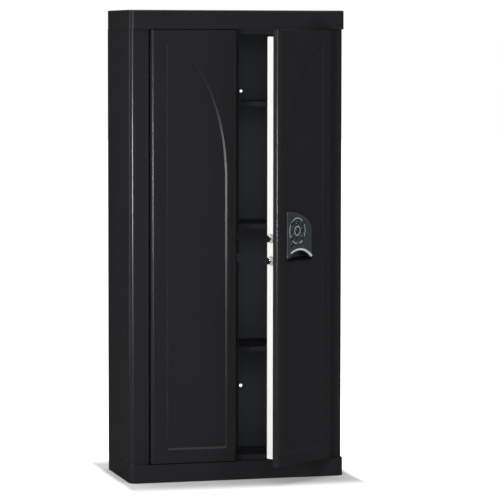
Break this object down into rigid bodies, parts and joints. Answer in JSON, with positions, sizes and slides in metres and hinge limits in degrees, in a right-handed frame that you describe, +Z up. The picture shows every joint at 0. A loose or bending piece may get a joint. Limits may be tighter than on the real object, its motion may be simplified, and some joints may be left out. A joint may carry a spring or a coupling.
{
  "type": "gun safe",
  "caption": "Upright two-door steel gun safe: concealed gooseneck hinges, keypad lock on the right door, shelved right half and a long-gun left half.",
  "frame": {"origin": "centre of the base's underside", "axes": "+X to the right as seen from the front, +Y to the back, +Z up along the height"},
  "size_m": [0.708, 0.5035, 1.5],
  "materials": {
    "black_enamel": "gloss black baked enamel",
    "inner_enamel": "satin dark grey enamel",
    "white_enamel": "satin ivory-white enamel",
    "zinc_steel": "zinc-plated steel",
    "pin_steel": "bright steel",
    "chrome": "polished chrome",
    "bush_brass": "turned brass",
    "motor_steel": "plated steel can",
    "pad_metal": "metallic grey lacquer",
    "key_plastic": "moulded black plastic",
    "lamp_plastic": "smoked lens",
    "board": "green solder mask",
    "box_plastic": "moulded black plastic",
    "grey_foam": "closed-cell foam"
  },
  "bodies": {
    "cabinet": {"base_plinth": "black_enamel", "base_plate": "black_enamel", "top_cap": "black_enamel", "roof_panel": "inner_enamel", "right_side_panel": "black_enamel", "left_side_panel": "black_enamel", "back_panel": "inner_enamel", "header_rail": "inner_enamel", "sill_rail": "inner_enamel", "centre_divider": "inner_enamel", "shelf_standards": "inner_enamel", "shelf_clips": "zinc_steel", "barrel_rack": "inner_enamel", "barrel_foam": "grey_foam", "stock_mat": "grey_foam", "lower_shelf": "inner_enamel", "middle_shelf": "inner_enamel", "upper_shelf": "inner_enamel", "right_hinge_brackets": "zinc_steel", "left_hinge_brackets": "zinc_steel", "right_hinge_pins": "pin_steel", "left_hinge_pins": "pin_steel"},
    "left_door": {"left_door_skin": "black_enamel", "left_door_pan": "white_enamel", "left_door_cover": "white_enamel", "left_cover_screws": "pin_steel", "left_hinge_arms": "zinc_steel", "astragal": "black_enamel", "strike_blocks": "zinc_steel", "slide_bolt_guides": "zinc_steel"},
    "right_door": {"right_door_skin": "black_enamel", "right_door_pan": "white_enamel", "right_door_cover": "white_enamel", "right_cover_screws": "pin_steel", "right_hinge_arms": "zinc_steel", "bolt_bushes": "bush_brass", "lock_motor": "motor_steel", "battery_box": "box_plastic", "keypad_housing": "pad_metal", "pull_lip": "chrome", "indicator_lamps": "lamp_plastic", "circuit_board": "board"},
    "upper_slide_bolt": {"upper_slide_bolt": "chrome"},
    "lower_slide_bolt": {"lower_slide_bolt": "chrome"},
    "bolt_work": {"bolt_bar": "zinc_steel", "lock_bolts": "chrome"},
    "crank": {"crank_wheel": "zinc_steel"},
    "key_1": {"key_1": "key_plastic"},
    "key_2": {"key_2": "key_plastic"},
    "key_3": {"key_3": "key_plastic"},
    "key_4": {"key_4": "key_plastic"},
    "key_5": {"key_5": "key_plastic"},
    "key_6": {"key_6": "key_plastic"},
    "key_7": {"key_7": "key_plastic"},
    "key_8": {"key_8": "key_plastic"},
    "key_9": {"key_9": "key_plastic"},
    "key_star": {"key_star": "key_plastic"},
    "key_0": {"key_0": "key_plastic"},
    "key_hash": {"key_hash": "key_plastic"}
  },
  "joints": [
    {"name": "left_door_hinge", "type": "hinge", "parent": "cabinet", "child": "left_door", "pos_m": [-0.312, -0.1265, 0.75], "axis": [0, 0, 1], "range_deg": [-90, 0]},
    {"name": "right_door_hinge", "type": "hinge", "parent": "cabinet", "child": "right_door", "pos_m": [0.312, -0.1265, 0.75], "axis": [0, 0, 1], "range_deg": [-36.5, 53.5]},
    {"name": "upper_slide_bolt_throw", "type": "slide", "parent": "left_door", "child": "upper_slide_bolt", "axis": [0, 0, 1], "range_m": [0, 0.03]},
    {"name": "lower_slide_bolt_throw", "type": "slide", "parent": "left_door", "child": "lower_slide_bolt", "axis": [0, 0, -1], "range_m": [0, 0.03]},
    {"name": "lock_bolt_throw", "type": "slide", "parent": "right_door", "child": "bolt_work", "axis": [-0.8039, -0.5948, 0], "range_m": [0, 0.014]},
    {"name": "crank_turn", "type": "hinge", "parent": "right_door", "child": "crank", "pos_m": [0.22272, -0.18572, 0.74625], "axis": [0.5948, -0.8039, 0], "range_deg": [0, 60]},
    {"name": "key_1_press", "type": "slide", "parent": "right_door", "child": "key_1", "axis": [-0.5948, 0.8039, 0], "range_m": [0, 0.0015], "stiffness_N_per_m": 800, "springref_m": -0.0005},
    {"name": "key_2_press", "type": "slide", "parent": "right_door", "child": "key_2", "axis": [-0.5948, 0.8039, 0], "range_m": [0, 0.0015], "stiffness_N_per_m": 800, "springref_m": -0.0005},
    {"name": "key_3_press", "type": "slide", "parent": "right_door", "child": "key_3", "axis": [-0.5948, 0.8039, 0], "range_m": [0, 0.0015], "stiffness_N_per_m": 800, "springref_m": -0.0005},
    {"name": "key_4_press", "type": "slide", "parent": "right_door", "child": "key_4", "axis": [-0.5948, 0.8039, 0], "range_m": [0, 0.0015], "stiffness_N_per_m": 800, "springref_m": -0.0005},
    {"name": "key_5_press", "type": "slide", "parent": "right_door", "child": "key_5", "axis": [-0.5948, 0.8039, 0], "range_m": [0, 0.0015], "stiffness_N_per_m": 800, "springref_m": -0.0005},
    {"name": "key_6_press", "type": "slide", "parent": "right_door", "child": "key_6", "axis": [-0.5948, 0.8039, 0], "range_m": [0, 0.0015], "stiffness_N_per_m": 800, "springref_m": -0.0005},
    {"name": "key_7_press", "type": "slide", "parent": "right_door", "child": "key_7", "axis": [-0.5948, 0.8039, 0], "range_m": [0, 0.0015], "stiffness_N_per_m": 800, "springref_m": -0.0005},
    {"name": "key_8_press", "type": "slide", "parent": "right_door", "child": "key_8", "axis": [-0.5948, 0.8039, 0], "range_m": [0, 0.0015], "stiffness_N_per_m": 800, "springref_m": -0.0005},
    {"name": "key_9_press", "type": "slide", "parent": "right_door", "child": "key_9", "axis": [-0.5948, 0.8039, 0], "range_m": [0, 0.0015], "stiffness_N_per_m": 800, "springref_m": -0.0005},
    {"name": "key_star_press", "type": "slide", "parent": "right_door", "child": "key_star", "axis": [-0.5948, 0.8039, 0], "range_m": [0, 0.0015], "stiffness_N_per_m": 800, "springref_m": -0.0005},
    {"name": "key_0_press", "type": "slide", "parent": "right_door", "child": "key_0", "axis": [-0.5948, 0.8039, 0], "range_m": [0, 0.0015], "stiffness_N_per_m": 800, "springref_m": -0.0005},
    {"name": "key_hash_press", "type": "slide", "parent": "right_door", "child": "key_hash", "axis": [-0.5948, 0.8039, 0], "range_m": [0, 0.0015], "stiffness_N_per_m": 800, "springref_m": -0.0005}
  ],
  "couplings": [
    {"joint": "crank_turn", "follows": "lock_bolt_throw", "rad_per_m": 74.79}
  ]
}
